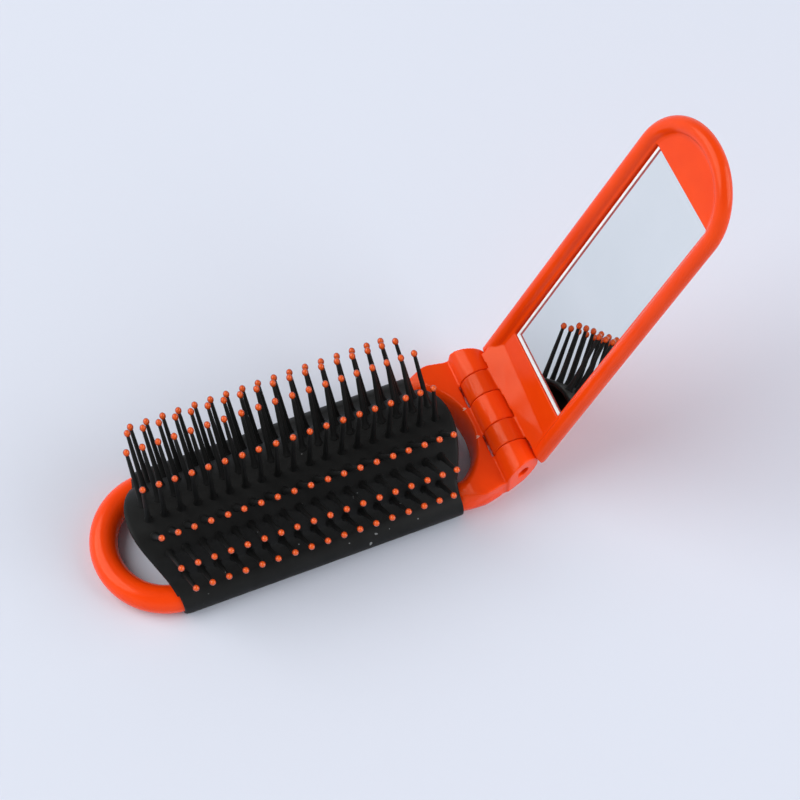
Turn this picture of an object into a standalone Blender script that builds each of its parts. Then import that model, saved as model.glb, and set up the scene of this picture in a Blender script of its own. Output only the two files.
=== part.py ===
"""Pocket mirror comb: a folding hand brush with a mirror in its lid.

Units are metres and +Z is up. The brush lies on the desk with the loop end towards -X.
The origin is the middle of the flat underside beneath the middle hinge knuckle.
"""

import math

import bmesh
import bpy
from mathutils import Matrix, Vector

# Clearances
gap = 0.0003
cut_margin = 0.002
pin_sink = 0.0004

# Brush frame: a round bar bent to a loop, with a flat web at the hinge end
bar_radius = 0.00323
bar_half_spacing = 0.0145
loop_reach = 0.0138
opening_to_hinge = 0.006
opening_arc_depth = 0.00684
opening_arc_round_share = 0.15
shoulder_half_width = 0.0182
shoulder_start_to_hinge = 0.0151
shoulder_peak_to_hinge = 0.0094
shoulder_end_half_width = 0.0172
web_rise = 0.0014
web_edge_inset = 0.0002
web_tail = 0.0014
edge_round_share = 0.94

# Hinge
hinge_from_rest_face = 0.00525
hinge_height = 0.0082
barrel_radius = 0.00434
barrel_half_length = 0.0163
barrel_end_slant = math.radians(17.6)
middle_knuckle_half_width = 0.00387
side_knuckle_outer_edge = 0.00979
knuckle_slot_clearance = 0.0004
hinge_pin_radius = 0.0011
hinge_pin_recess = 0.002
underside_rise_start = 0.0049
wedge_front_angle = math.radians(-65)
wedge_back_angle = math.radians(181)
wedge_end_chamfer = 0.0028

# Lid, in its own frame: X runs from the hinge axis to the tip, Z faces the brush
lid_open_angle = math.radians(64.7)
lid_start = 0.0031
lid_root_half_width = 0.0163
lid_half_width = 0.0159
lid_corner_radius = 0.01575
lid_end_radius = 0.017
lid_tip = 0.0952
lid_rim_radius = 0.00186
lid_behind_axis = 0.00346
lid_plate_above_middle = 0.00026
lid_neck_angle = math.radians(250)

# Ledge between the hinge and the mirror, in two slopes
ledge_start = 0.0044
ledge_start_drop = 0.0006
ledge_bend = 0.0095
ledge_bend_rise = 0.0001
ledge_half_width = 0.0138

# Mirror and the pocket that holds it
mirror_start = 0.0152
mirror_end = 0.081
mirror_half_width = 0.0116
mirror_thickness = 0.001
mirror_below_plate = 0.00015

# Rubber pad: an arch between the two bars, with a channel round each bar
channel_outer_radius = 0.004
channel_length = 0.067
channel_past_loop_start = 0.00175
channel_lip_height = 0.00035
pad_end_to_hinge = 0.01525
pad_length = 0.0677
arch_radius = 0.01383
arch_centre_height = 0.00264
arch_thickness = 0.001
arch_bulge_loop_end = 0.0054
arch_bulge_hinge_end = 0.004

# Pins and their beads
crown_row_overhang = 0.0007
rows_towards_loop = 0.00025
pin_reach = 0.01426
pin_foot_radius = 0.0007
pin_foot_height = 0.0014
pin_shaft_radius = 0.00045
pin_top_radius = 0.0004
bead_radius = 0.00078
bead_crown_radius = 0.00045
bead_half_length = 0.0008
crown_row_pins = 19
row_angles = [math.radians(a) for a in (0, 17.8, 36.8, 62.1)]
row_leans = [math.radians(a) for a in (0, 28.9, 40.8, 39.0)]
row_pins = [crown_row_pins, crown_row_pins, crown_row_pins - 1, crown_row_pins - 2]

# Facets
round_steps = 3
loop_steps = 18
shoulder_steps = 10
lid_corner_steps = 10
lid_end_steps = 2
barrel_steps = 24
hollow_steps = 48
channel_steps = 14
slice_steps = 3
pin_sides = 4

hinge_axis = Vector((hinge_from_rest_face, 0, hinge_height))
bore_radius = hinge_pin_radius + gap
web_end = hinge_axis.x - barrel_radius - knuckle_slot_clearance
web_height = 2 * bar_radius + web_rise
plate_face = lid_plate_above_middle - lid_behind_axis
mirror_back = plate_face - mirror_below_plate - mirror_thickness
pad_end = hinge_axis.x - pad_end_to_hinge
pad_middle = pad_end - pad_length / 2
loop_centre = pad_end - channel_length + channel_past_loop_start
pin_pitch = (pad_length + crown_row_overhang) / (crown_row_pins - 1)


def remove_scene_objects():
    for thing in list(bpy.data.objects):
        bpy.data.objects.remove(thing, do_unlink=True)


def new_collection(name):
    collection = bpy.data.collections.new(name)
    bpy.context.scene.collection.children.link(collection)
    return collection


def new_material(name, colour, roughness, metallic=0.0):
    material = bpy.data.materials.new(name)
    material.use_nodes = True
    shader = material.node_tree.nodes["Principled BSDF"]
    shader.inputs["Base Color"].default_value = (*colour, 1)
    shader.inputs["Roughness"].default_value = roughness
    shader.inputs["Metallic"].default_value = metallic
    return material


def orange_plastic(name):
    return new_material(name, (0.82, 0.06, 0.01), 0.25)


def black_rubber(name):
    return new_material(name, (0.02, 0.02, 0.022), 0.6)


def pin_steel(name):
    return new_material(name, (0.6, 0.6, 0.62), 0.3, 1.0)


def silvered_glass(name):
    return new_material(name, (0.9, 0.92, 0.93), 0.02, 1.0)


def mesh_object(name, bm, collection, material=None):
    bmesh.ops.recalc_face_normals(bm, faces=bm.faces)
    mesh = bpy.data.meshes.new(name)
    bm.to_mesh(mesh)
    bm.free()
    thing = bpy.data.objects.new(name, mesh)
    collection.objects.link(thing)
    if material is not None:
        mesh.materials.append(material)
    return thing


def smooth(thing, angle=math.radians(35)):
    thing.data.shade_smooth()
    thing.data.set_sharp_from_angle(angle=angle)


def cutter(name, bm):
    thing = mesh_object(name, bm, cutters)
    thing.display_type = "WIRE"
    thing.hide_render = True
    return thing


def boolean(thing, other, operation):
    modifier = thing.modifiers.new(other.name, "BOOLEAN")
    modifier.operation = operation
    modifier.solver = "EXACT"
    modifier.object = other
    return modifier


def add_lofted(bm, outlines):
    """Adds one closed solid whose cross-sections are the given rings of points, in order."""
    face = bm.faces.new([bm.verts.new(point) for point in outlines[0]])
    for number, outline in enumerate(outlines[1:]):
        result = bmesh.ops.extrude_face_region(bm, geom=[face])
        if number > 0:
            bmesh.ops.delete(bm, geom=[face], context="FACES_ONLY")
        face = next(item for item in result["geom"] if isinstance(item, bmesh.types.BMFace))
        for vert, point in zip(face.verts, outline):
            vert.co = point


def add_prism(bm, outline, direction):
    """Adds a straight solid: the outline swept by the direction."""
    add_lofted(bm, [outline, [point + direction for point in outline]])


def add_box(bm, low, high):
    size = high - low
    place = Matrix.Translation((low + high) / 2) @ Matrix.Diagonal((*size, 1))
    bmesh.ops.create_cube(bm, size=1, matrix=place)


def add_rod(bm, centre, radius, half_length, steps):
    """Adds a round rod along Y."""
    place = Matrix.Translation(centre) @ Matrix.Rotation(math.radians(90), 4, "X")
    bmesh.ops.create_cone(
        bm, cap_ends=True, segments=steps, radius1=radius, radius2=radius,
        depth=2 * half_length, matrix=place,
    )


def arc(centre, radius_x, radius_y, start, end, steps):
    """Points of an arc in the plane, as pairs, from the start angle to the end angle."""
    angles = [start + (end - start) * step / steps for step in range(steps + 1)]
    return [
        (centre[0] + radius_x * math.cos(angle), centre[1] + radius_y * math.sin(angle))
        for angle in angles
    ]


def quarter_round(radius, height):
    """Pairs of inset and height that round an edge, from its lowest face up to its side."""
    angles = [math.radians(90) * step / round_steps for step in range(round_steps + 1)]
    return [(radius * (1 - math.sin(a)), height + radius * (1 - math.cos(a))) for a in angles]


def round_edge(bar, middle):
    """Pairs of inset and height that shape an edge as a round bar about a middle height."""
    lower = quarter_round(bar * edge_round_share, middle - bar)
    return lower + [(inset, 2 * middle - height) for inset, height in reversed(lower)]


def web_share(from_hinge):
    """How far the bars have grown into the web at a distance before the hinge axis."""
    span = shoulder_start_to_hinge - shoulder_peak_to_hinge
    share = max(0, min(1, (shoulder_start_to_hinge - from_hinge) / span))
    return share * (2 - share)


def web_half_width(from_hinge):
    """Half the width of the frame at a distance before the hinge axis."""
    bar_edge = bar_half_spacing + bar_radius
    if from_hinge >= shoulder_peak_to_hinge:
        return bar_edge + (shoulder_half_width - bar_edge) * web_share(from_hinge)
    share = (shoulder_peak_to_hinge - from_hinge) / (shoulder_peak_to_hinge - barrel_radius)
    return shoulder_half_width + (shoulder_end_half_width - shoulder_half_width) * share


def raised(x, y, height):
    """A point of the frame, lifted above the bars' middle where the web is thicker."""
    above_middle = max(0, height / bar_radius - 1)
    lift = web_rise * web_share(hinge_axis.x - x) * above_middle
    return Vector((x, y, height + lift))


def frame_outline(inset, height):
    """Outer edge of the frame, moved inwards by the inset, at a height."""
    grow = bar_radius - inset
    half_width = bar_half_spacing + grow
    quarter = math.radians(90)
    loop = arc((loop_centre, 0), loop_reach + grow, half_width, quarter, 3 * quarter, loop_steps)
    shoulder = []
    span = shoulder_start_to_hinge - barrel_radius
    squared = min(inset, web_edge_inset) if height > bar_radius else inset
    for step in range(shoulder_steps + 1):
        from_hinge = shoulder_start_to_hinge - span * step / shoulder_steps
        inset_here = inset + (squared - inset) * web_share(from_hinge)
        shoulder.append((hinge_axis.x - from_hinge, web_half_width(from_hinge) - inset_here))
    near = [(x, -y) for x, y in shoulder]
    far = list(reversed(shoulder))
    return [raised(x, y, height) for x, y in loop + near + far]


def opening_outline(flare, height):
    """Edge of the frame's opening, moved outwards by the flare, at a height."""
    grow = flare - bar_radius
    half_width = bar_half_spacing + grow
    quarter = math.radians(90)
    inner_edge = bar_half_spacing - bar_radius
    arc_radius = (inner_edge**2 + opening_arc_depth**2) / (2 * opening_arc_depth)
    arc_centre = (hinge_axis.x - opening_to_hinge - arc_radius, 0)
    spread = math.atan2(inner_edge, arc_radius - opening_arc_depth)
    web_reach = arc_radius + flare * opening_arc_round_share
    web_width = half_width / math.sin(spread)
    loop = arc((loop_centre, 0), loop_reach + grow, half_width, quarter, 3 * quarter, loop_steps)
    web = arc(arc_centre, web_reach, web_width, -spread, spread, loop_steps)
    web_start = hinge_axis.x - shoulder_start_to_hinge
    web = [(web_start, -half_width)] + web + [(web_start, half_width)]
    return [raised(x, y, height) for x, y in loop + web]


def split_web_top(bm):
    """Splits the top of the frame from side to side, so that it can follow the web's rise."""
    top = max(bm.faces, key=lambda face: face.calc_center_median().z)
    corners = list(top.verts)
    tip = min(range(len(corners)), key=lambda number: corners[number].co.x)
    for away in range(loop_steps // 2, len(corners) // 2):
        near = corners[(tip + away) % len(corners)]
        far = corners[tip - away]
        face = next(face for face in near.link_faces if far in face.verts)
        bmesh.utils.face_split(face, near, far)


def frame_plate():
    levels = round_edge(bar_radius, bar_radius)
    bm = bmesh.new()
    add_lofted(bm, [frame_outline(inset, height) for inset, height in levels])
    split_web_top(bm)
    return bm


def opening_cutter():
    levels = round_edge(bar_radius, bar_radius)
    widest = levels[0][0]
    outlines = [opening_outline(widest, -cut_margin)]
    outlines += [opening_outline(inset, height) for inset, height in levels]
    outlines += [opening_outline(widest, 2 * bar_radius + cut_margin)]
    bm = bmesh.new()
    add_lofted(bm, outlines)
    return cutter("frame_opening_cut", bm)


def web_end_cutter():
    bm = bmesh.new()
    reach = shoulder_half_width + cut_margin
    low = Vector((web_end, -reach, -cut_margin))
    high = Vector((hinge_axis.x + barrel_radius, reach, web_height + cut_margin))
    add_box(bm, low, high)
    return cutter("web_end_cut", bm)


def web_tail_block():
    """The lip of the web that runs on below the lid's knuckles."""
    slope_front = (hinge_axis.x + barrel_radius * math.cos(wedge_front_angle),
                   hinge_height + barrel_radius * math.sin(wedge_front_angle))
    slope_start = hinge_axis.x - underside_rise_start
    end = web_end + web_tail
    rise = slope_front[1] * (end - slope_start) / (slope_front[0] - slope_start)
    corners = [(web_end - gap, 0), (slope_start, 0), (end, rise),
               (end, 2 * bar_radius), (web_end - gap, 2 * bar_radius)]
    reach = side_knuckle_outer_edge + knuckle_slot_clearance
    bm = bmesh.new()
    outline = [Vector((x, -reach, z)) for x, z in corners]
    add_prism(bm, outline, Vector((0, 2 * reach, 0)))
    return cutter("web_tail", bm)


def knuckle_room_cutter():
    """Hollows the web out round the barrel, so that the lid's knuckles turn clear of it."""
    bm = bmesh.new()
    add_rod(bm, hinge_axis, barrel_radius + knuckle_slot_clearance,
            shoulder_half_width + cut_margin, hollow_steps)
    return cutter("knuckle_room_cut", bm)


def knuckle_profile():
    """Side view of a frame knuckle: the barrel and the wedge that carries it."""
    barrel = arc((hinge_axis.x, hinge_height), barrel_radius, barrel_radius,
                 wedge_front_angle, wedge_back_angle, barrel_steps)
    web_top = (web_end - gap, web_height)
    foot_back = (web_end - gap, 0)
    foot_front = (hinge_axis.x - underside_rise_start, 0)
    return barrel + [web_top, foot_back, foot_front]


def frame_knuckles():
    half_gap = gap / 2
    inner = middle_knuckle_half_width - half_gap
    outer = side_knuckle_outer_edge + half_gap
    reach = shoulder_half_width
    bm = bmesh.new()
    for low, high in ((-reach, -outer), (-inner, inner), (outer, reach)):
        outline = [Vector((x, low, z)) for x, z in knuckle_profile()]
        add_prism(bm, outline, Vector((0, high - low, 0)))
    return cutter("frame_knuckles", bm)


def slant_edge(distance, side):
    """A point on the slanted end plane of the barrel, at a distance past the hinge axis."""
    return Vector((hinge_axis.x + distance,
                   side * (barrel_half_length - distance * math.tan(barrel_end_slant)),
                   -cut_margin))


def barrel_end_cutter():
    """Slants both ends of the barrel and trims the corners of the wedges below them."""
    bm = bmesh.new()
    back = web_end - hinge_axis.x - gap - pin_sink
    front = barrel_radius + cut_margin
    height = Vector((0, 0, hinge_height + barrel_radius + 2 * cut_margin))
    for side in (-1, 1):
        outside = Vector((0, side * (shoulder_half_width - bar_radius), 0))
        outline = [slant_edge(back, side), slant_edge(front, side),
                   slant_edge(front, side) + outside, slant_edge(back, side) + outside]
        add_prism(bm, outline, height)
    return cutter("barrel_end_cut", bm)


def wedge_end_cutter():
    bm = bmesh.new()
    start = web_end - 2 * gap
    reach = shoulder_end_half_width + cut_margin
    inner = shoulder_end_half_width - wedge_end_chamfer
    top = wedge_end_chamfer + cut_margin
    for side in (-1, 1):
        corners = [(inner - cut_margin, -cut_margin), (reach, -cut_margin), (reach, top)]
        outline = [Vector((start, side * y, z)) for y, z in corners]
        add_prism(bm, outline, Vector((2 * barrel_radius, 0, 0)))
    return cutter("wedge_end_cut", bm)


def pin_bore_cutter(name, centre):
    bm = bmesh.new()
    add_rod(bm, centre, bore_radius, barrel_half_length + 2 * cut_margin, barrel_steps)
    return cutter(name, bm)


def make_brush_frame():
    frame = mesh_object("brush_frame", frame_plate(), pieces, orange_plastic("frame_orange"))
    boolean(frame, opening_cutter(), "DIFFERENCE")
    boolean(frame, web_end_cutter(), "DIFFERENCE")
    boolean(frame, web_tail_block(), "UNION")
    boolean(frame, knuckle_room_cutter(), "DIFFERENCE")
    boolean(frame, frame_knuckles(), "UNION")
    boolean(frame, barrel_end_cutter(), "DIFFERENCE")
    boolean(frame, wedge_end_cutter(), "DIFFERENCE")
    boolean(frame, pin_bore_cutter("frame_pin_bore", hinge_axis), "DIFFERENCE")
    smooth(frame)


def make_hinge_pin():
    bm = bmesh.new()
    add_rod(bm, Vector(), hinge_pin_radius, barrel_half_length - hinge_pin_recess, barrel_steps)
    pin = mesh_object("hinge_pin", bm, pieces, pin_steel("hinge_pin_steel"))
    pin.location = hinge_axis
    smooth(pin)


def channel_profile():
    """Section of a channel: a ring round the bar, open underneath."""
    drop = bar_radius - channel_lip_height
    inner_radius = bar_radius + gap
    rings = []
    for radius in (channel_outer_radius, inner_radius):
        lip = math.asin(drop / radius)
        rings.append(arc((0, 0), radius, radius, -lip, math.pi + lip, channel_steps))
    return rings[0] + list(reversed(rings[1]))


def make_channel(name, side):
    bm = bmesh.new()
    outline = [Vector((-channel_length, y, z)) for y, z in channel_profile()]
    add_prism(bm, outline, Vector((channel_length, 0, 0)))
    channel = mesh_object(name, bm, pieces, black_rubber(name + "_rubber"))
    channel.location = (pad_end, side * bar_half_spacing, bar_radius)
    smooth(channel)


def arch_edge_angle():
    """Angle from the crown at which the arch comes to within a gap of its channel."""
    across = bar_half_spacing
    down = bar_radius - arch_centre_height
    distance = math.hypot(across, down)
    keep_off = channel_outer_radius + gap
    swing = (arch_radius**2 + distance**2 - keep_off**2) / (2 * arch_radius * distance)
    return math.atan2(across, down) - math.acos(swing)


def slice_angles(row):
    """Start and end angle of a row's slice of the arch, from the crown outwards."""
    half_gap = gap / arch_radius / 2
    borders = [(a + b) / 2 for a, b in zip(row_angles, row_angles[1:])]
    start = -borders[0] + half_gap if row == 0 else borders[row - 1] + half_gap
    end = borders[row] - half_gap if row < len(borders) else arch_edge_angle()
    return start, end


def arch_section(angle, side):
    """Four corners of the arch's sheet at an angle from the crown."""
    outward = Vector((0, side * math.sin(angle), math.cos(angle)))
    centre = Vector((pad_end, 0, arch_centre_height))
    bulge = math.cos(angle) ** 2
    low = Vector((-pad_length - arch_bulge_loop_end * bulge, 0, 0))
    high = Vector((arch_bulge_hinge_end * bulge, 0, 0))
    outer = centre + outward * arch_radius
    inner = centre + outward * (arch_radius - arch_thickness)
    return [outer + low, outer + high, inner + high, inner + low]


def row_places(row, side):
    """Root of each pin of a row, and the direction in which the pins point."""
    angle = row_angles[row]
    lean = row_leans[row]
    across = side * arch_radius * math.sin(angle)
    height = arch_centre_height + arch_radius * math.cos(angle)
    first = pad_middle - rows_towards_loop - pin_pitch * (row_pins[row] - 1) / 2
    roots = [Vector((first + pin_pitch * n, across, height)) for n in range(row_pins[row])]
    return roots, Vector((0, side * math.sin(lean), math.cos(lean)))


def upright_to(direction, place):
    """Matrix that stands a shape along the direction, with its origin at the place."""
    turn = Vector((0, 0, 1)).rotation_difference(direction).to_matrix().to_4x4()
    return Matrix.Translation(place) @ turn


def pin_ring(radius, height, place):
    ring = arc((0, 0), radius, radius, 0, math.tau, pin_sides)[:-1]
    return [place @ Vector((x, y, height)) for x, y in ring]


def row_pin_solids(name, roots, direction):
    sections = [(pin_foot_radius, -pin_sink), (pin_shaft_radius, pin_foot_height),
                (pin_top_radius, pin_reach - bead_half_length), (bead_radius, pin_reach),
                (bead_crown_radius, pin_reach + bead_half_length)]
    bm = bmesh.new()
    for root in roots:
        place = upright_to(direction, root)
        add_lofted(bm, [pin_ring(radius, height, place) for radius, height in sections])
    return cutter(name + "_pins", bm)


def make_bristle_row(number, row, side):
    name = f"bristle_row_{number}"
    start, end = slice_angles(row)
    angles = [start + (end - start) * step / slice_steps for step in range(slice_steps + 1)]
    bm = bmesh.new()
    add_lofted(bm, [arch_section(angle, side) for angle in angles])
    strip = mesh_object(name, bm, pieces, black_rubber(name + "_rubber"))
    roots, direction = row_places(row, side)
    boolean(strip, row_pin_solids(name, roots, direction), "UNION")
    smooth(strip)


def lid_outline(inset, height, start):
    """Edge of the lid, moved inwards by the inset, at a height in the lid's frame."""
    corner_y = lid_half_width - lid_corner_radius
    centres_apart = lid_end_radius - lid_corner_radius
    end_x = lid_tip - lid_end_radius
    corner_x = end_x + math.sqrt(centres_apart**2 - corner_y**2)
    quarter = math.radians(90)
    meeting = math.asin(corner_y / centres_apart)
    corner = lid_corner_radius - inset
    end = lid_end_radius - inset
    near = arc((corner_x, -corner_y), corner, corner, -quarter, -meeting, lid_corner_steps)
    tip = arc((end_x, 0), end, end, -meeting, meeting, lid_end_steps)[1:-1]
    far = [(x, -y) for x, y in reversed(near)]
    side = lid_root_half_width - inset
    points = [(start, -side)] + near + tip + far + [(start, side)]
    return [Vector((x, y, height)) for x, y in points]


def lid_shell():
    bm = bmesh.new()
    levels = round_edge(lid_rim_radius, -lid_behind_axis)
    add_lofted(bm, [lid_outline(inset, height, lid_start + inset) for inset, height in levels])
    return bm


def lid_recess_cutter():
    """What is cut away inside the lid's round rim, down to the face of its plate."""
    rim_width = 2 * lid_rim_radius
    start = lid_start - cut_margin
    crest = quarter_round(lid_rim_radius * edge_round_share, 0)
    crest = [(inset, lid_rim_radius - lid_behind_axis - drop) for inset, drop in reversed(crest)]
    crest = [(inset, height) for inset, height in crest if height > plate_face]
    levels = [(0, plate_face)] + crest + [(crest[-1][0], crest[-1][1] + cut_margin)]
    bm = bmesh.new()
    add_lofted(bm, [lid_outline(rim_width - inset, height, start) for inset, height in levels])
    return cutter("lid_recess_cut", bm)


def mirror_pocket_cutter():
    bm = bmesh.new()
    half_width = mirror_half_width + gap
    low = Vector((mirror_start - gap, -half_width, mirror_back - gap))
    high = Vector((mirror_end + gap, half_width, plate_face + cut_margin))
    add_box(bm, low, high)
    return cutter("mirror_pocket_cut", bm)


def ledge_slope_height(along):
    """Height of the ledge's slope at a distance from the hinge axis."""
    share = (along - ledge_start) / (ledge_bend - ledge_start)
    return -ledge_start_drop + (plate_face + ledge_bend_rise + ledge_start_drop) * share


def lid_ledge():
    """The raised part of the lid's plate, which slopes down from the hinge to the mirror."""
    foot = plate_face - pin_sink
    profile = [(ledge_start, foot), (ledge_start, -ledge_start_drop),
               (ledge_bend, plate_face + ledge_bend_rise),
               (mirror_start - 2 * gap, plate_face), (mirror_start - 2 * gap, foot)]
    bm = bmesh.new()
    outline = [Vector((x, -ledge_half_width, z)) for x, z in profile]
    add_prism(bm, outline, Vector((0, 2 * ledge_half_width, 0)))
    return cutter("lid_ledge", bm)


def hinge_hollow_cutter():
    """Clears the lid's edge of the frame's knuckles."""
    bm = bmesh.new()
    radius = barrel_radius + knuckle_slot_clearance
    add_rod(bm, Vector(), radius, lid_root_half_width + cut_margin, hollow_steps)
    return cutter("hinge_hollow_cut", bm)


def lid_knuckle_profile():
    """Side view of a lid knuckle: the barrel and the neck that joins it to the lid's plate."""
    neck_end = lid_start + 2 * lid_rim_radius
    neck_back = gap - lid_behind_axis - lid_rim_radius
    face_angle = math.asin(-ledge_start_drop / barrel_radius)
    barrel = arc((0, 0), barrel_radius, barrel_radius, face_angle, lid_neck_angle, barrel_steps)
    return barrel + [(neck_end, neck_back), (neck_end, ledge_slope_height(neck_end) - pin_sink)]


def lid_knuckles():
    half_gap = gap / 2
    inner = middle_knuckle_half_width + half_gap
    outer = side_knuckle_outer_edge - half_gap
    bm = bmesh.new()
    for low in (inner, -outer):
        outline = [Vector((x, low, z)) for x, z in lid_knuckle_profile()]
        add_prism(bm, outline, Vector((0, outer - inner, 0)))
    return cutter("lid_knuckles", bm)


def make_mirror_lid(pivot):
    lid = mesh_object("mirror_lid", lid_shell(), pieces, orange_plastic("lid_orange"))
    operands = [(lid_recess_cutter(), "DIFFERENCE"), (mirror_pocket_cutter(), "DIFFERENCE"),
                (lid_ledge(), "UNION"), (hinge_hollow_cutter(), "DIFFERENCE"),
                (lid_knuckles(), "UNION"), (pin_bore_cutter("lid_pin_bore", Vector()), "DIFFERENCE")]
    lid.parent = pivot
    for operand, operation in operands:
        operand.parent = pivot
        boolean(lid, operand, operation)
    smooth(lid)


def make_mirror_glass(pivot):
    bm = bmesh.new()
    low = Vector((mirror_start, -mirror_half_width, mirror_back))
    high = Vector((mirror_end, mirror_half_width, mirror_back + mirror_thickness))
    add_box(bm, low, high)
    glass = mesh_object("mirror_glass", bm, pieces, silvered_glass("mirror_silver"))
    glass.parent = pivot


def make_lid():
    pivot = bpy.data.objects.new("lid_pivot", None)
    pieces.objects.link(pivot)
    pivot.location = hinge_axis
    pivot.rotation_euler = (0, -lid_open_angle, 0)
    make_mirror_lid(pivot)
    make_mirror_glass(pivot)


def make_pad():
    make_channel("pad_channel_far", 1)
    make_channel("pad_channel_near", -1)
    outermost = len(row_angles) - 1
    for number in range(1, 2 * outermost + 2):
        row = abs(outermost + 1 - number)
        side = 1 if number <= outermost + 1 else -1
        make_bristle_row(number, row, side)


remove_scene_objects()
pieces = new_collection("pocket_mirror_comb")
cutters = new_collection("cutters")
make_brush_frame()
make_hinge_pin()
make_pad()
make_lid()
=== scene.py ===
import math
import random

import bmesh
import bpy
from mathutils import Matrix, Vector


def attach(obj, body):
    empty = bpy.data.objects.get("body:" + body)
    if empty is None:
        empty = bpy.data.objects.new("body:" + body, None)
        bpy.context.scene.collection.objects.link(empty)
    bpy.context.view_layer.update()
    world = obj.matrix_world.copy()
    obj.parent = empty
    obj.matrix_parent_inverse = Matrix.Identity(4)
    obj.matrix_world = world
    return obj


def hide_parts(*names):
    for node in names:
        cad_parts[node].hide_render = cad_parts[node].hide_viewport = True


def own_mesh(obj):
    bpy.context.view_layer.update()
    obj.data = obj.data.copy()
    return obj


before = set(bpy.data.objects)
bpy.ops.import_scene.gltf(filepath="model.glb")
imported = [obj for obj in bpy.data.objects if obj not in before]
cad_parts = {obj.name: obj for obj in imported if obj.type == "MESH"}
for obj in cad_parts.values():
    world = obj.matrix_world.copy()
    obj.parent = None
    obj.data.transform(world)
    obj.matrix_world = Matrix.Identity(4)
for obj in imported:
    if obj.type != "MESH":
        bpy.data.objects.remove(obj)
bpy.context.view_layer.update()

random.seed(7)

# Sizes that the pieces share with the CAD, in metres
bar_radius = 0.00323
bar_half_spacing = 0.0145
loop_centre_x = -0.07525
loop_reach = 0.0138
opening_tip_x = -0.00075
opening_arc_depth = 0.00684
opening_arc_round_share = 0.15
opening_wall_lean = 0.0015
shoulder_start_x = -0.00985
shoulder_peak_x = -0.00415
shoulder_half_width = 0.0182
shoulder_end_half_width = 0.0172
web_rise = 0.0014
web_edge_inset = 0.0002
hinge = Vector((0.00525, 0, 0.0082))
barrel_radius = 0.00434
barrel_half_length = 0.0163
barrel_end_slant = math.radians(17.6)
middle_knuckle = 0.00387
side_knuckle = 0.00979
web_end_x = 0.00051
web_tail_x = 0.00191
knuckle_room = 0.00474
lid_angle = math.radians(64.7)
lid_start = 0.0031
lid_root_half_width = 0.0163
lid_half_width = 0.0159
lid_corner_radius = 0.01575
lid_end_radius = 0.017
lid_tip = 0.0952
rim_radius = 0.00186
rim_middle = -0.00346
plate_face = -0.0032
mirror_low = Vector((0.0152, -0.0116, -0.00435))
mirror_high = Vector((0.081, 0.0116, -0.00335))
channel_radius = 0.004
channel_start_x = -0.077
pad_end_x = -0.01
pad_length = 0.0677
arch_radius = 0.01383
arch_centre_z = 0.00264
arch_bulge_loop = 0.0054
arch_bulge_hinge = 0.004
rows_towards_loop = 0.00025
pin_pitch = 0.0038
pin_reach = 0.01426
row_angles = [math.radians(a) for a in (0, 17.8, 36.8, 62.1)]
row_leans = [math.radians(a) for a in (0, 28.9, 40.8, 39.0)]
row_pins = [19, 19, 18, 17]
row_sways = [0.0, 0.00035, 0.0007, 0.00045, 0.00015, 0.0001, 0.0]
row_leans_back = [0.0004, 0.0, 0.0, 0.0, 0.0, 0.0, 0.0002]
quarter = math.radians(90)
lid_place = Matrix.Translation(hinge) @ Matrix.Rotation(-lid_angle, 4, "Y")

# Sizes of the cutters, the hinge's gaps and the soft edges
cut_margin = 0.002
cutter_reach = 0.03
cutter_depth = 0.01
rod_half_length = 0.02
bore_radius = 0.0014
knuckle_gap = 0.00007
barrel_room = 0.00014
moulding_voxel = 0.00022
moulding_rounds = 3

# Sizes that only the dressed frame has
loop_steps = 72
shoulder_steps = 24
web_top = 2 * bar_radius + web_rise
web_overlap_x = web_end_x - 0.0003
web_tail_rise = 0.001
knuckle_foot_x = 0.00035
knuckle_foot_angle = math.radians(-65)
knuckle_reach = 0.0185
end_cut_start_x = -0.0002
end_cut_low = -0.001
end_cut_height = 0.02
end_cut_width = 0.01
slant_start = -0.0039
slant_end = 0.007
chamfer_reach = 0.004
chamfer_sections = [(-0.0060, 0.0183, 0.0003), (-0.0002, 0.0179, 0.0034), (0.0123, 0.0141, 0.0038)]
flash_x = -0.0006
flash_places_y = (-0.0040, 0.0038)
flash_slivers = [(0.0, 0.25, 0.0011), (0.00032, -0.35, 0.0008)]
flash_width = 0.00022
flash_height = 0.00026

# Sizes that only the dressed lid and mirror have
rim_step_height = 0.0002
rim_step_width = 0.00045
rim_step_fall = 0.00002
rim_step_clearance = 0.00005
ledge_start_x = 0.0044
ledge_end_x = 0.0147
ledge_sink = 0.0004
ledge_bend_rise = 0.0001
ledge_sections = [(-0.0138, -0.0017, 0.0086), (0.0, -0.0010, 0.0095), (0.0138, -0.0002, 0.0104)]
neck_face = -0.0017
neck_end_x = 0.0068
neck_low = -0.005
neck_high = -0.0025
neck_angle = math.radians(250)
mirror_margin = 0.00012
mirror_sink = 0.0001
mirror_bevel = 0.0017
ground_edge_sides = ((0.00010, 0.00100), (0.00052, 0.00058))
# Inset and width on each side of the dark red strip, a painted reflection of the orange shell in the
# glass's edge
edge_reflection_sides = ((0.00120, 0.00045), (0.00118, 0.00047))

# Sizes that only the dressed pad has
channel_lip_height = 0.00035
channel_room = 0.00012
channel_overrun = 0.0005
channel_straight_x = pad_end_x - 0.03
channel_rounding = [(0.0, 0.00028), (0.0001, 0.0001), (0.00035, 0.0)]
sheet_thickness = 0.0011
sheet_end_rounding = 0.00035
outer_rounding_share = 0.9
inner_rounding_share = 0.6
arch_half_angle = math.radians(63)
landing_angle = math.radians(72)
landing_sink = 0.00003
thinning_share = 0.7
bead_radius = 0.00074
bead_half_height = 0.00086
sway_start_share = 0.45
last_pins_lean = 0.0008
last_pins_share = 0.86
pin_stray = 0.006


# Node materials

def new_material(name):
    material = bpy.data.materials.new(name)
    material.use_nodes = True
    return material, material.node_tree, material.node_tree.nodes["Principled BSDF"]


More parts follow.
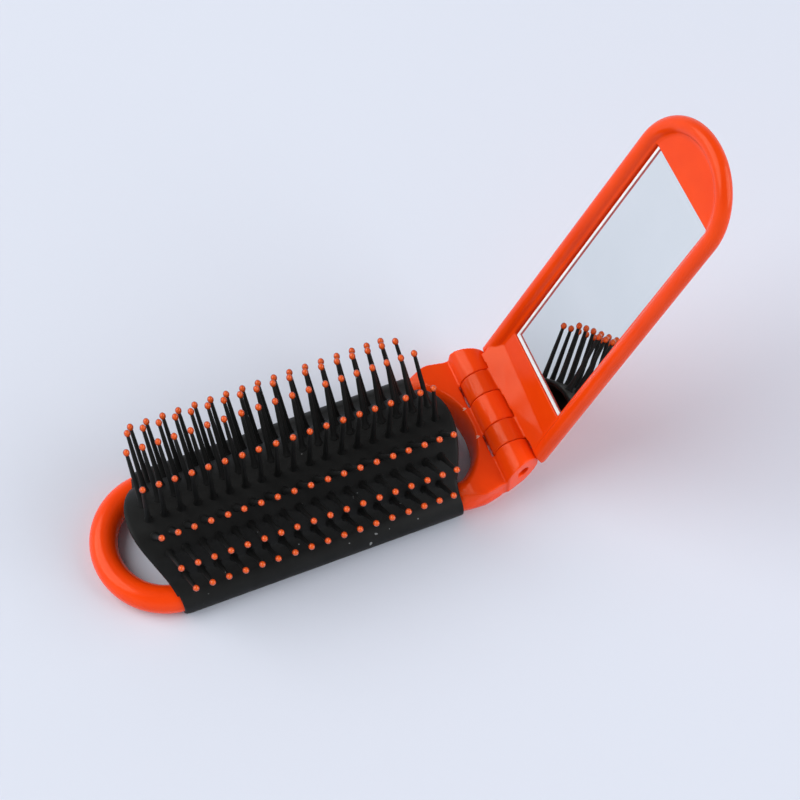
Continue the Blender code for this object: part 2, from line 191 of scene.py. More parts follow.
def add_node(tree, kind, **values):
    node = tree.nodes.new(kind)
    for key, value in values.items():
        if key in node.inputs:
            node.inputs[key].default_value = value
        else:
            setattr(node, key, value)
    return node


def noise(tree, scale, detail=4.0, roughness=0.5):
    place = add_node(tree, "ShaderNodeTexCoord")
    texture = add_node(tree, "ShaderNodeTexNoise", Scale=scale, Detail=detail, Roughness=roughness)
    tree.links.new(place.outputs["Object"], texture.inputs["Vector"])
    return texture.outputs["Fac"]


def ramp(tree, source, stops):
    node = tree.nodes.new("ShaderNodeValToRGB")
    elements = node.color_ramp.elements
    while len(elements) < len(stops):
        elements.new(0.5)
    for element, (position, colour) in zip(elements, stops):
        element.position = position
        element.color = (*colour, 1)
    tree.links.new(source, node.inputs["Fac"])
    return node.outputs["Color"]


def spread(tree, source, low, high):
    node = add_node(tree, "ShaderNodeMapRange")
    node.inputs["To Min"].default_value = low
    node.inputs["To Max"].default_value = high
    tree.links.new(source, node.inputs["Value"])
    return node.outputs["Result"]


def bump(tree, shader, source, strength, distance):
    node = add_node(tree, "ShaderNodeBump", Strength=strength, Distance=distance)
    tree.links.new(source, node.inputs["Height"])
    tree.links.new(node.outputs["Normal"], shader.inputs["Normal"])


def dust(tree, share, under, colour):
    """The colour that comes in under, with the plain colour laid over it where share is one."""
    node = add_node(tree, "ShaderNodeMix", data_type="RGBA")
    first_colour, second_colour, mixed_colour = node.inputs[6], node.inputs[7], node.outputs[2]
    tree.links.new(share, node.inputs["Factor"])
    tree.links.new(under, first_colour)
    second_colour.default_value = (*colour, 1)
    return mixed_colour


def set_colour(tree, shader, source, stops):
    tree.links.new(ramp(tree, source, stops), shader.inputs["Base Color"])


def set_roughness(tree, shader, source, low, high):
    tree.links.new(spread(tree, source, low, high), shader.inputs["Roughness"])


def orange_plastic(name, low, high):
    material, tree, shader = new_material(name)
    set_colour(tree, shader, noise(tree, scale=90.0, detail=3.0), [(0.3, low), (0.7, high)])
    smudge = noise(tree, scale=260.0, detail=6.0, roughness=0.65)
    set_roughness(tree, shader, smudge, low=0.12, high=0.25)
    bump(tree, shader, noise(tree, scale=900.0, detail=3.0), strength=0.05, distance=0.0002)
    shader.inputs["Specular IOR Level"].default_value = 0.34
    shader.inputs["Specular Tint"].default_value = (1.0, 0.70, 0.50, 1)
    return material


def black_rubber(name):
    """Dull black with a few pale specks of dust."""
    material, tree, shader = new_material(name)
    cloud = noise(tree, scale=160.0, detail=6.0, roughness=0.6)
    grey = ramp(tree, cloud, [(0.3, (0.0075, 0.0078, 0.0077)), (0.72, (0.0135, 0.0140, 0.0138))])
    black, white = (0, 0, 0), (1, 1, 1)
    specks = ramp(tree, noise(tree, scale=900.0, detail=0.0), [(0.86, black), (0.885, white)])
    tree.links.new(dust(tree, specks, grey, (0.20, 0.21, 0.21)), shader.inputs["Base Color"])
    set_roughness(tree, shader, noise(tree, scale=420.0), low=0.42, high=0.62)
    bump(tree, shader, noise(tree, scale=2600.0, detail=3.0), strength=0.12, distance=0.0001)
    shader.inputs["Specular IOR Level"].default_value = 0.14
    return material


def torn_plastic(name):
    material, tree, shader = new_material(name)
    stops = [(0.3, (0.98, 0.52, 0.38)), (0.7, (1.0, 0.80, 0.68))]
    set_colour(tree, shader, noise(tree, scale=3000.0, detail=3.0), stops)
    set_roughness(tree, shader, noise(tree, scale=2000.0), low=0.3, high=0.5)
    return material


def bead_plastic(name):
    """Orange with painted shade: it darkens towards each bead's outline as the camera sees it, with a
    little random tone.
    """
    material, tree, shader = new_material(name)
    facing = add_node(tree, "ShaderNodeLayerWeight", Blend=0.5)
    rim = add_node(tree, "ShaderNodeMath", operation="MULTIPLY_ADD")
    cloud, cloud_share, start = rim.inputs
    tree.links.new(noise(tree, scale=700.0, detail=3.0), cloud)
    cloud_share.default_value = 0.3
    tree.links.new(facing.outputs["Facing"], start)
    # Painted shade: the stops run from the bead's lit face to its dark outline.
    stops = [(0.15, (0.86, 0.115, 0.007)), (0.6, (0.56, 0.058, 0.005)), (0.95, (0.16, 0.018, 0.004))]
    set_colour(tree, shader, rim.outputs["Value"], stops)
    set_roughness(tree, shader, noise(tree, scale=1500.0), low=0.08, high=0.2)
    return material


def mirror_silver(name):
    material, tree, shader = new_material(name)
    stops = [(0.3, (0.81, 0.84, 0.84)), (0.7, (0.85, 0.87, 0.87))]
    set_colour(tree, shader, noise(tree, scale=60.0, detail=3.0), stops)
    set_roughness(tree, shader, noise(tree, scale=300.0, detail=5.0), low=0.0, high=0.02)
    shader.inputs["Metallic"].default_value = 1.0
    return material


def ground_glass(name):
    material, tree, shader = new_material(name)
    stops = [(0.3, (0.76, 0.79, 0.80)), (0.7, (0.93, 0.94, 0.94))]
    set_colour(tree, shader, noise(tree, scale=500.0, detail=3.0), stops)
    set_roughness(tree, shader, noise(tree, scale=1500.0), low=0.08, high=0.2)
    return material


# A dark red strip on the mirror's edge: painted reflection of the orange shell in the glass.
def painted_reflection_glass(name):
    material, tree, shader = new_material(name)
    stops = [(0.3, (0.30, 0.045, 0.040)), (0.7, (0.42, 0.07, 0.06))]
    set_colour(tree, shader, noise(tree, scale=400.0, detail=3.0), stops)
    set_roughness(tree, shader, noise(tree, scale=900.0), low=0.1, high=0.25)
    return material


def pin_steel(name):
    material, tree, shader = new_material(name)
    stops = [(0.3, (0.42, 0.42, 0.43)), (0.7, (0.6, 0.6, 0.62))]
    set_colour(tree, shader, noise(tree, scale=900.0), stops)
    set_roughness(tree, shader, noise(tree, scale=2000.0), low=0.25, high=0.45)
    shader.inputs["Metallic"].default_value = 1.0
    return material


# Mesh helpers

def new_piece(name, bm, material):
    bmesh.ops.recalc_face_normals(bm, faces=bm.faces)
    mesh = bpy.data.meshes.new(name)
    bm.to_mesh(mesh)
    bm.free()
    mesh.shade_smooth()
    thing = bpy.data.objects.new(name, mesh)
    bpy.context.scene.collection.objects.link(thing)
    if material is not None:
        mesh.materials.append(material)
    return thing


def add_loft(bm, rings, caps=True):
    """Adds the skin over a row of rings of points, with the same number of points in each."""
    rows = [[bm.verts.new(point) for point in ring] for ring in rings]
    count = len(rows[0])
    for low, high in zip(rows, rows[1:]):
        for n in range(count):
            m = (n + 1) % count
            bm.faces.new((low[n], low[m], high[m], high[n]))
    if caps:
        bm.faces.new(list(reversed(rows[0])))
        bm.faces.new(rows[-1])


def add_prism(bm, outline, direction):
    add_loft(bm, [outline, [point + direction for point in outline]])


def add_box(bm, low, high):
    size = high - low
    place = Matrix.Translation((low + high) / 2) @ Matrix.Diagonal((*size, 1))
    bmesh.ops.create_cube(bm, size=1, matrix=place)


def add_rod(bm, centre, radius, steps=64):
    """A rod across the brush that is longer than the hinge."""
    place = Matrix.Translation(centre) @ Matrix.Rotation(quarter, 4, "X")
    bmesh.ops.create_cone(bm, cap_ends=True, segments=steps, radius1=radius, radius2=radius,
                          depth=2 * rod_half_length, matrix=place)


def arc(centre, radius_x, radius_y, start, end, steps):
    """Points along an arc of an ellipse, both ends included."""
    angles = [start + (end - start) * step / steps for step in range(steps + 1)]
    return [(centre[0] + radius_x * math.cos(a), centre[1] + radius_y * math.sin(a)) for a in angles]


def settle(thing):
    """Makes what the modifiers give the object's own mesh."""
    graph = bpy.context.evaluated_depsgraph_get()
    mesh = bpy.data.meshes.new_from_object(thing.evaluated_get(graph))
    thing.modifiers.clear()
    thing.data = mesh


def combine(thing, bm, operation):
    other = new_piece("operand", bm, None)
    modifier = thing.modifiers.new("combine", "BOOLEAN")
    modifier.operation = operation
    modifier.solver = "EXACT"
    modifier.object = other
    settle(thing)
    bpy.data.objects.remove(other, do_unlink=True)


def soften(thing):
    """Gives a solid the soft edges of a moulding."""
    remesh = thing.modifiers.new("remesh", "REMESH")
    remesh.mode = "VOXEL"
    remesh.voxel_size = moulding_voxel
    remesh.use_smooth_shade = True
    smooth = thing.modifiers.new("smooth", "SMOOTH")
    smooth.factor = 0.5
    smooth.iterations = moulding_rounds
    settle(thing)
    thing.data.shade_smooth()


# Brush frame

def round_levels(radius, middle, steps):
    """Pairs of inset and height of a fully rounded edge, from its lowest point up."""
    angles = [-quarter + 2 * quarter * step / steps for step in range(steps + 1)]
    return [(radius * (1 - math.cos(a)), middle + radius * math.sin(a)) for a in angles]


def web_share(x):
    """How far the bars have grown into the web at x."""
    share = max(0, min(1, (x - shoulder_start_x) / (shoulder_peak_x - shoulder_start_x)))
    return share * (2 - share)


def shoulder_width(x):
    edge = bar_half_spacing + bar_radius
    if x <= shoulder_peak_x:
        return edge + (shoulder_half_width - edge) * web_share(x)
    share = (x - shoulder_peak_x) / (hinge.x - barrel_radius - shoulder_peak_x)
    return shoulder_half_width + (shoulder_end_half_width - shoulder_half_width) * share


def raised(x, y, height):
    """A point of the frame. The upper half of the web is lifted above the bars."""
    lift = web_rise * web_share(x) * max(0, height / bar_radius - 1)
    return Vector((x, y, height + lift))


def frame_outline(inset, height):
    grow = bar_radius - inset
    reach = loop_reach + grow
    side = bar_half_spacing + grow
    loop = arc((loop_centre_x, 0), reach, side, quarter, 3 * quarter, loop_steps)
    end = hinge.x - barrel_radius
    squared = min(inset, web_edge_inset) if height > bar_radius else inset
    shoulder = []
    for step in range(shoulder_steps + 1):
        x = shoulder_start_x + (end - shoulder_start_x) * step / shoulder_steps
        shoulder.append((x, shoulder_width(x) - inset - (squared - inset) * web_share(x)))
    points = loop + [(x, -y) for x, y in shoulder] + list(reversed(shoulder))
    return [raised(x, y, height) for x, y in points]


def opening_outline(flare, height):
    grow = flare - bar_radius
    side = bar_half_spacing + grow
    inner = bar_half_spacing - bar_radius
    radius = (inner**2 + opening_arc_depth**2) / (2 * opening_arc_depth)
    spread_angle = math.atan2(inner, radius - opening_arc_depth)
    centre = (opening_tip_x - radius, 0)
    loop = arc((loop_centre_x, 0), loop_reach + grow, side, quarter, 3 * quarter, loop_steps)
    lean = opening_wall_lean * (1 - min(1, max(0, height / (2 * bar_radius))))
    reach = radius + flare * opening_arc_round_share - lean
    web = arc(centre, reach, side / math.sin(spread_angle), -spread_angle, spread_angle, steps=48)
    web = [(shoulder_start_x, -side)] + web + [(shoulder_start_x, side)]
    return [raised(x, y, height) for x, y in loop + web]


def knuckle_profile():
    """Barrel with the web's end, whose top runs level into it."""
    meeting = math.pi + math.asin((hinge.z - web_top) / barrel_radius)
    middle = (hinge.x, hinge.z)
    barrel = arc(middle, barrel_radius, barrel_radius, knuckle_foot_angle, meeting, steps=48)
    return barrel + [(web_overlap_x, web_top), (web_overlap_x, 0), (knuckle_foot_x, 0)]


def slant(distance, side):
    """A point in line with the barrel's slanting end, this far past the axis, at the cutter's foot."""
    y = side * (barrel_half_length - distance * math.tan(barrel_end_slant))
    return Vector((hinge.x + distance, y, end_cut_low))


def frame_body(levels):
    """The bar's loop and the web as one skin, with strips of faces over its flat underside and top."""
    bm = bmesh.new()
    add_loft(bm, [frame_outline(inset, height) for inset, height in levels], caps=False)
    bm.verts.ensure_lookup_table()
    size = len(bm.verts) // len(levels)
    for base in (0, len(bm.verts) - size):
        ring = [bm.verts[base + (loop_steps // 2 + n) % size] for n in range(size)]
        bm.faces.new((ring[0], ring[1], ring[-1]))
        for n in range(1, size // 2):
            bm.faces.new((ring[n], ring[n + 1], ring[-n - 1], ring[-n]))
    return bm


def frame_opening(levels):
    """Cutter of the window under the pad. It widens at the top and underside for their rounding."""
    bm = bmesh.new()
    rings = [opening_outline(bar_radius, -cut_margin)]
    rings += [opening_outline(inset, height) for inset, height in levels]
    rings += [opening_outline(bar_radius, 2 * bar_radius + cut_margin)]
    add_loft(bm, rings)
    return bm


def web_tail():
    """What stands past the web's straight end, between the outer knuckles."""
    bm = bmesh.new()
    tail = [(web_overlap_x, 0), (knuckle_foot_x, 0), (web_tail_x, web_tail_rise),
            (web_tail_x, 2 * bar_radius), (web_overlap_x, 2 * bar_radius)]
    add_prism(bm, [Vector((x, -side_knuckle, z)) for x, z in tail], Vector((0, 2 * side_knuckle, 0)))
    return bm


def frame_knuckles():
    bm = bmesh.new()
    for near, far in ((-knuckle_reach, -side_knuckle - knuckle_gap),
                      (-middle_knuckle + knuckle_gap, middle_knuckle - knuckle_gap),
                      (side_knuckle + knuckle_gap, knuckle_reach)):
        outline = [Vector((x, near, z)) for x, z in knuckle_profile()]
        add_prism(bm, outline, Vector((0, far - near, 0)))
    return bm


def end_cuts():
    """Cutters that trim the web's two corners and the barrel's two slanting ends."""
    bm = bmesh.new()
    for side in (-1, 1):
        out = Vector((0, side * end_cut_width, 0))
        back = Vector((end_cut_start_x, side * shoulder_end_half_width, end_cut_low))
        foot = Vector((hinge.x - barrel_radius, side * shoulder_end_half_width, end_cut_low))
        last = slant(slant_end, side)
        outline = [back, foot, slant(slant_start, side), last, last + out, back + out]
        add_prism(bm, outline, Vector((0, 0, end_cut_height)))
    return bm


def corner_cuts():
    """Cutters of the chamfers under the hinge's two ends, in sections from the web past the barrel."""
    bm = bmesh.new()
    for side in (-1, 1):
        sections = []
        for x, across, rise in chamfer_sections:
            out = across + chamfer_reach
            outline = [(out, -cut_margin), (out, rise), (across, rise),
                       (across - rise - cut_margin, -cut_margin)]
            sections.append([Vector((x, side * y, z)) for y, z in outline])
        add_loft(bm, sections)
    return bm


def bore_cut(centre):
    bm = bmesh.new()
    add_rod(bm, centre, bore_radius, steps=32)
    return bm


def make_frame_shell(material):
    levels = round_levels(bar_radius, bar_radius, steps=20)
    shell = new_piece("frame_shell", frame_body(levels), None)
    combine(shell, frame_opening(levels), "DIFFERENCE")
    bm = bmesh.new()
    add_box(bm, Vector((web_end_x, -cutter_reach, -cutter_depth)), Vector((cutter_reach,) * 3))
    combine(shell, bm, "DIFFERENCE")
    combine(shell, web_tail(), "UNION")
    bm = bmesh.new()
    add_rod(bm, hinge, knuckle_room)
    combine(shell, bm, "DIFFERENCE")
    combine(shell, frame_knuckles(), "UNION")
    combine(shell, end_cuts(), "DIFFERENCE")
    combine(shell, corner_cuts(), "DIFFERENCE")
    combine(shell, bore_cut(hinge), "DIFFERENCE")
    soften(shell)
    shell.data.materials.append(material)
    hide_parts("brush_frame")
    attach(shell, "frame")


def make_flash_marks(material):
    """Two torn bits of moulding flash on the edge of the opening's arc, each of two slivers."""
    bm = bmesh.new()
    for y in flash_places_y:
        for shift, turn, length in flash_slivers:
            place = Vector((flash_x + 0.25 * shift, y + shift, web_top))
            size = Matrix.Diagonal((length, flash_width, flash_height, 1))
            matrix = Matrix.Translation(place) @ Matrix.Rotation(turn, 4, "Z") @ size
            bmesh.ops.create_icosphere(bm, subdivisions=2, radius=0.5, matrix=matrix)
    marks = new_piece("flash_marks", bm, material)
    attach(marks, "frame")


# Lid

def lid_outline(inset, height, start):
    corner_y = lid_half_width - lid_corner_radius
    apart = lid_end_radius - lid_corner_radius
    end_x = lid_tip - lid_end_radius
    corner_x = end_x + math.sqrt(apart**2 - corner_y**2)
    meeting = math.asin(corner_y / apart)
    corner = lid_corner_radius - inset
    end = lid_end_radius - inset
    near = arc((corner_x, -corner_y), corner, corner, -quarter, -meeting, steps=40)
    tip = arc((end_x, 0), end, end, -meeting, meeting, steps=8)[1:-1]
    far = [(x, -y) for x, y in reversed(near)]
    side = lid_root_half_width - inset
    return [Vector((x, y, height)) for x, y in [(start, -side)] + near + tip + far + [(start, side)]]


def lid_recess(levels):
    """Cutter of the hollow inside the rim, with the step beside the rim."""
    step_top = plate_face + rim_step_height
    rings = [(-rim_step_width, plate_face), (-rim_step_width, step_top), (0, step_top + rim_step_fall)]
    rings += [level for level in levels if level[1] > step_top + rim_step_clearance]
    inset, height = rings[-1]
    rings.append((inset, height + cut_margin))
    bm = bmesh.new()
    start = lid_start - cut_margin
    add_loft(bm, [lid_outline(2 * rim_radius - inset, height, start) for inset, height in rings])
    return bm


def mirror_pocket():
    margin = Vector((mirror_margin,) * 3)
    high = mirror_high + margin
    high.z = plate_face + cut_margin
    bm = bmesh.new()
    add_box(bm, mirror_low - margin, high)
    return bm


def lid_ledge():
    """The slope from the hinge down to the plate. Its start is twisted along its length."""
    foot = plate_face - ledge_sink
    sections = []
    for y, start, bend_x in ledge_sections:
        profile = [(ledge_start_x, foot), (ledge_start_x, start), (bend_x, plate_face + ledge_bend_rise),
                   (ledge_end_x, plate_face), (ledge_end_x, foot)]
        sections.append([Vector((x, y, z)) for x, z in profile])
    bm = bmesh.new()
    add_loft(bm, sections)
    return bm


def lid_knuckles():
    face_angle = math.asin(neck_face / barrel_radius)
    profile = arc((0, 0), barrel_radius, barrel_radius, face_angle, neck_angle, steps=48)
    profile += [(neck_end_x, neck_low), (neck_end_x, neck_high)]
    bm = bmesh.new()
    for low in (middle_knuckle + knuckle_gap, -side_knuckle + knuckle_gap):
        outline = [Vector((x, low, z)) for x, z in profile]
        add_prism(bm, outline, Vector((0, side_knuckle - middle_knuckle - 2 * knuckle_gap, 0)))
    return bm


def make_lid_shell(material):
    """The lid lies flat while it is built, with the hinge's axis through the origin."""
    levels = round_levels(rim_radius, rim_middle, steps=20)
    bm = bmesh.new()
    add_loft(bm, [lid_outline(inset, height, lid_start + inset) for inset, height in levels])
    shell = new_piece("lid_shell", bm, None)
    combine(shell, lid_recess(levels), "DIFFERENCE")
    combine(shell, mirror_pocket(), "DIFFERENCE")
    combine(shell, lid_ledge(), "UNION")
    bm = bmesh.new()
    add_rod(bm, Vector(), barrel_radius + barrel_room)
    combine(shell, bm, "DIFFERENCE")
    combine(shell, lid_knuckles(), "UNION")
    combine(shell, bore_cut(Vector()), "DIFFERENCE")
    soften(shell)
    shell.data.transform(lid_place)
    shell.data.materials.append(material)
    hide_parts("mirror_lid")
    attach(shell, "lid")


def make_mirror_band(name, hinge_side, far_side, height, material):
    """A strip along the mirror's hinge side and far side. Each side is its inset and its width."""
    hinge_inset, hinge_width = hinge_side
    far_inset, far_width = far_side
    low = Vector((mirror_low.x + hinge_inset, mirror_low.y, mirror_low.z))
    inner = low.x + hinge_width
    far = mirror_high.y - far_inset
    bm = bmesh.new()
    add_box(bm, low, Vector((inner, far, height)))
    add_box(bm, Vector((inner, far - far_width, low.z)), Vector((mirror_high.x, far, height)))
    band = new_piece(name, bm, material)
    band.data.shade_flat()
    band.data.transform(lid_place)
    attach(band, "lid")


def make_mirror(silver, edge_glass, edge_reflection_material):
    """The silvered glass with its ground edge, which shows pale, and beside it a dark red strip, a painted
    reflection of the orange shell in the glass's edge.
    """
    front = mirror_high.z - mirror_sink
    reflection_face = front - mirror_sink / 2
    make_mirror_band("mirror_ground_edge", *ground_edge_sides, front, edge_glass)
    # The dark red strip beside the ground edge is painted reflection of the orange shell.
    make_mirror_band("mirror_edge_painted_reflection", *edge_reflection_sides, reflection_face, edge_reflection_material)
    bm = bmesh.new()
    low = mirror_low + Vector((mirror_bevel, 0, 0))
    add_box(bm, low, Vector((mirror_high.x, mirror_high.y - mirror_bevel, front)))
    mirror = new_piece("mirror_plate", bm, silver)
    mirror.data.shade_flat()
    mirror.data.transform(lid_place)
    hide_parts("mirror_glass")
    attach(mirror, "lid")


# Rubber pad

def bar_path(x):
    """Middle of the bar at x: half its spacing, and the slope of the bar there."""
    if x >= loop_centre_x:
        return bar_half_spacing, 0.0
    share = (loop_centre_x - x) / loop_reach
    y = bar_half_spacing * math.sqrt(1 - share * share)
    return y, math.atan2(share, math.sqrt(1 - share * share))


def channel_stations():
    """Pairs of x and how much thinner the channel is there. Both of its ends are rounded."""
    start = channel_start_x - channel_overrun
    bend_steps = 12
    bend = [start + (loop_centre_x - start) * n / bend_steps for n in range(2, bend_steps + 1)]
    stations = [(start + distance, shrink) for distance, shrink in channel_rounding]
    stations += [(x, 0.0) for x in bend + [channel_straight_x]]
    stations += [(pad_end_x - distance, shrink) for distance, shrink in reversed(channel_rounding)]
    return stations


def make_channel(name, side, node, material):
    lip_drop = bar_radius - channel_lip_height
    inner = bar_radius + channel_room
    inner_lip = math.asin(lip_drop / inner)
    rings = []
    for x, shrink in channel_stations():
        y, slope = bar_path(x)
        ahead, aside = math.sin(slope), math.cos(slope)
        radius = channel_radius - shrink
        lip = math.asin(lip_drop / radius)
        outer = arc((0, 0), radius, radius, -lip, math.pi + lip, steps=40)
        inside = arc((0, 0), inner, inner, math.pi + inner_lip, -inner_lip, steps=40)
        rings.append([Vector((x + across * ahead, side * (y + across * aside), bar_radius + up))
                      for across, up in outer + inside])
    bm = bmesh.new()
    add_loft(bm, rings)
    channel = new_piece(name, bm, material)
    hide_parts(node)
    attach(channel, "frame")


def sheet_bulge(angle):
    """Share of the crown's bulge that the sheet's ends have at this angle from the crown."""
    return max(0.0, math.cos(angle)) ** 2


def sheet_section():
    """Half of the sheet's outer face from the crown down: point, normal, thickness and bulge.

    Past the arch a curve runs out over the channel's outer face, and the sheet thins along it.
    """
    section = []
    arch_steps, curve_steps = 36, 16
    for n in range(arch_steps + 1):
        angle = arch_half_angle * n / arch_steps
        normal = Vector((0, math.sin(angle), math.cos(angle)))
        point = Vector((0, 0, arch_centre_z)) + normal * arch_radius
        section.append((point, normal, sheet_thickness, sheet_bulge(angle)))
    start = section[-1][0]
    fall = Vector((0, math.cos(arch_half_angle), -math.sin(arch_half_angle)))
    landing = Vector((0, math.cos(landing_angle), math.sin(landing_angle)))
    finish = Vector((0, bar_half_spacing, bar_radius)) + landing * (channel_radius - landing_sink)
    run = Vector((0, landing.z, -landing.y))
    span = finish - start
    reach = (span.y * run.z - span.z * run.y) / (fall.y * run.z - fall.z * run.y)
    corner = start + fall * reach
    last_bulge = sheet_bulge(arch_half_angle)
    for n in range(1, curve_steps + 1):
        t = n / curve_steps
        point = start * (1 - t) ** 2 + corner * 2 * t * (1 - t) + finish * t**2
        along = (corner - start) * (1 - t) + (finish - corner) * t
        normal = Vector((0, -along.z, along.y)).normalized()
        thick = sheet_thickness * (1 - thinning_share * t)
        section.append((point, normal, thick, last_bulge * (1 - t)))
    return section


def sheet_ring(section, share):
    """The sheet's section at this share of its length: the outer face, then the inner one back."""
    end_distance = min(share, 1 - share) * pad_length
    shrink = max(0.0, sheet_end_rounding - end_distance) * outer_rounding_share
    outer, inner = [], []
    for point, normal, thick, bulge in section:
        low = pad_end_x - pad_length - arch_bulge_loop * bulge
        high = pad_end_x + arch_bulge_hinge * bulge
        place = point + Vector((low + (high - low) * share, 0, 0))
        outer.append(place - normal * shrink)
        depth = thick - shrink * inner_rounding_share * thick / sheet_thickness
        inner.append(place - normal * depth)
    return outer + list(reversed(inner))


def make_pad_sheet(material):
    """The arched sheet as one closed skin, with thinner end edges."""
    half = sheet_section()
    flip = Vector((1, -1, 1))
    section = [(point * flip, normal * flip, *rest) for point, normal, *rest in reversed(half[1:])]
    section += half
    end_shares = [0.0, 0.004, 0.012]
    shares = end_shares + [0.03 + 0.94 * n / 30 for n in range(31)]
    shares += [1 - share for share in reversed(end_shares)]
    bm = bmesh.new()
    add_loft(bm, [sheet_ring(section, share) for share in shares], caps=False)
    bm.verts.ensure_lookup_table()
    size = 2 * len(section)
    for base in (0, len(bm.verts) - size):
        ring = [bm.verts[base + n] for n in range(size)]
        for n in range(len(section) - 1):
            bm.faces.new((ring[n], ring[n + 1], ring[-n - 2], ring[-n - 1]))
    sheet = new_piece("pad_sheet", bm, material)
    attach(sheet, "frame")
    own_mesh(sheet)


def row_places(row, side):
    """Roots of a row's pins on the arch, and the way that the row leans."""
    angle, lean, pins = row_angles[row], row_leans[row], row_pins[row]
    across = side * arch_radius * math.sin(angle)
    height = arch_centre_z + arch_radius * math.cos(angle)
    middle = pad_end_x - pad_length / 2
    first = middle - rows_towards_loop - pin_pitch * (pins - 1) / 2
    roots = [Vector((first + pin_pitch * n, across, height)) for n in range(pins)]
    return roots, Vector((0, side * math.sin(lean), math.cos(lean)))


def pin_profile():
    """Pairs of radius and height, from a wide foot inside the sheet to a thin end inside the bead."""
    return [(0.0012, -0.0005), (0.00098, 0.00005), (0.00082, 0.0005), (0.0007, 0.0012),
            (0.00064, 0.0022), (0.00058, 0.0045), (0.00052, 0.0085), (0.00044, 0.0125),
            (0.0004, pin_reach - 0.0004)]


def bead_profile():
    steps = 12
    angles = [-quarter + 2 * quarter * step / steps for step in range(1, steps)]
    return [(bead_radius * math.cos(a), pin_reach + bead_half_height * math.sin(a)) for a in angles]


def add_lathe(bm, profile, place, sides):
    rings = []
    for radius, height in profile:
        ring = arc((0, 0), radius, radius, 0, math.tau, sides)[:-1]
        rings.append([place @ Vector((x, y, height)) for x, y in ring])
    add_loft(bm, rings)


def pin_sway(number, share):
    """Turn of a pin out of line, at this share of the row's length from the loop.

    The rows wave a little, their last pins at the hinge lean back, and each pin strays by chance.
    """
    towards_hinge = row_sways[number - 1] * math.sin(math.tau * (share - sway_start_share))
    towards_hinge -= row_leans_back[number - 1]
    towards_hinge -= last_pins_lean * max(0, (share - last_pins_share) / (1 - last_pins_share)) ** 2
    return towards_hinge / pin_reach + random.uniform(-pin_stray, pin_stray)


def make_row(number, rubber, beads):
    """Rows are numbered from the far side. The lists of angles, leans and pins start at the crown."""
    middle = len(row_angles)
    side = 1 if number <= middle else -1
    roots, direction = row_places(abs(middle - number), side)
    turn = Vector((0, 0, 1)).rotation_difference(direction).to_matrix().to_4x4()
    pins, tips = bmesh.new(), bmesh.new()
    for count, root in enumerate(roots):
        sway = Matrix.Rotation(pin_sway(number, count / (len(roots) - 1)), 4, "Y")
        place = Matrix.Translation(root) @ sway @ turn
        add_lathe(pins, pin_profile(), place, sides=14)
        add_lathe(tips, bead_profile(), place, sides=16)
    pins = new_piece(f"pins_row_{number}", pins, rubber)
    tips = new_piece(f"beads_row_{number}", tips, beads)
    for piece in (pins, tips):
        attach(piece, "frame")
        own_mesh(piece)
    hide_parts(f"bristle_row_{number}")


# Floor, light and camera

def make_floor():
    material, tree, shader = new_material("studio_floor")
    stops = [(0.3, (0.700, 0.740, 0.837)), (0.7, (0.712, 0.750, 0.847))]
    set_colour(tree, shader, noise(tree, scale=3.0, detail=2.0), stops)
    shader.inputs["Roughness"].default_value = 0.9
    shader.inputs["Specular IOR Level"].default_value = 0.0
    bm = bmesh.new()
    half_size = 3
    corners = [Vector((x, y, 0)) * half_size for x, y in ((-1, -1), (1, -1), (1, 1), (-1, 1))]
    bm.faces.new([bm.verts.new(corner) for corner in corners])
    floor = new_piece("studio_floor", bm, material)


def make_lamp(name, place, size, power, colour):
    """A round softbox that points at the middle of the brush."""
    target = Vector((0, 0, 0.02))
    light = bpy.data.lights.new(name, "AREA")
    light.shape = "DISK"
    light.size = size
    light.energy = power
    light.color = colour
    lamp = bpy.data.objects.new(name, light)
    lamp.location = place
    lamp.rotation_euler = (target - Vector(place)).to_track_quat("-Z", "Y").to_euler()
    bpy.context.scene.collection.objects.link(lamp)


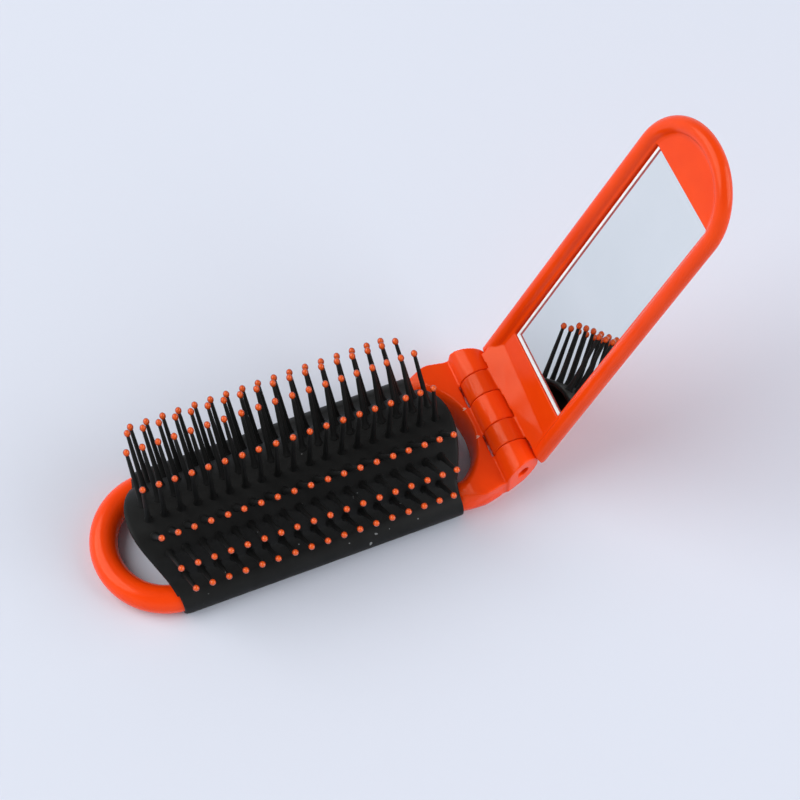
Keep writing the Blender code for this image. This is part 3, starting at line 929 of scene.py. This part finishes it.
def make_light():
    """Walls that are bright low down and dark overhead, and two softboxes."""
    world = bpy.data.worlds.new("studio")
    bpy.context.scene.world = world
    world.use_nodes = True
    tree = world.node_tree
    place = add_node(tree, "ShaderNodeTexCoord")
    split = add_node(tree, "ShaderNodeSeparateXYZ")
    tree.links.new(place.outputs["Generated"], split.inputs["Vector"])
    stops = [(0.0, (0.96, 0.97, 0.99)), (0.25, (0.84, 0.85, 0.87)),
             (0.5, (0.50, 0.505, 0.515)), (0.75, (0.22, 0.223, 0.23))]
    tree.links.new(ramp(tree, split.outputs["Z"], stops), tree.nodes["Background"].inputs["Color"])
    make_lamp("softbox_left", place=(-1.05, 0.56, 1.12), size=1.75, power=21.9, colour=(1.0, 0.99, 0.975))
    make_lamp("softbox_right", place=(1.06, -0.62, 0.76), size=1.3, power=12.1, colour=(0.975, 0.985, 1.0))


def make_camera():
    """The camera stands where the photo was taken from."""
    azimuth, elevation, roll = math.radians(-24.563), math.radians(60.801), math.radians(2.498)
    place = Vector((-0.122143, -0.226111, 0.475627))
    level = math.cos(elevation)
    forward = Vector((-math.sin(azimuth) * level, math.cos(azimuth) * level, -math.sin(elevation)))
    right = Vector((math.cos(azimuth), math.sin(azimuth), 0))
    up = right.cross(forward)
    across = right * math.cos(roll) + up * math.sin(roll)
    above = up * math.cos(roll) - right * math.sin(roll)
    camera = bpy.data.objects.new("camera", bpy.data.cameras.new("camera"))
    camera.data.sensor_width = 36
    camera.data.lens = 104.445
    turn = Matrix((across, above, -forward)).transposed().to_4x4()
    camera.matrix_world = Matrix.Translation(place) @ turn
    bpy.context.scene.collection.objects.link(camera)
    bpy.context.scene.camera = camera


# The object and its studio

# Painted light: the frame's copy of the orange is made brighter than the lid's, though both are the same
# plastic.
orange_frame_painted_lit = orange_plastic("frame_orange_plastic_painted_lit", low=(0.94, 0.054, 0.0024), high=(1.0, 0.066, 0.0036))
orange_lid = orange_plastic("lid_orange_plastic", low=(0.81, 0.050, 0.0022), high=(0.88, 0.062, 0.0033))
rubber = black_rubber("pad_black_rubber")
bead_orange = bead_plastic("bead_orange_plastic")
make_camera()
make_light()
make_floor()
make_frame_shell(orange_frame_painted_lit)
make_flash_marks(torn_plastic("frame_torn_plastic"))
make_lid_shell(orange_lid)
make_mirror(mirror_silver("mirror_silver_glass"), ground_glass("mirror_ground_glass"),
            painted_reflection_glass("mirror_painted_red_reflection"))
make_channel("channel_far", 1, "pad_channel_far", rubber)
make_channel("channel_near", -1, "pad_channel_near", rubber)
make_pad_sheet(rubber)
for number in range(1, 2 * len(row_angles)):
    make_row(number, rubber, bead_orange)
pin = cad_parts["hinge_pin"]
pin.data.materials.clear()
pin.data.materials.append(pin_steel("hinge_pin_steel"))

bpy.context.scene.view_settings.view_transform = "Standard"
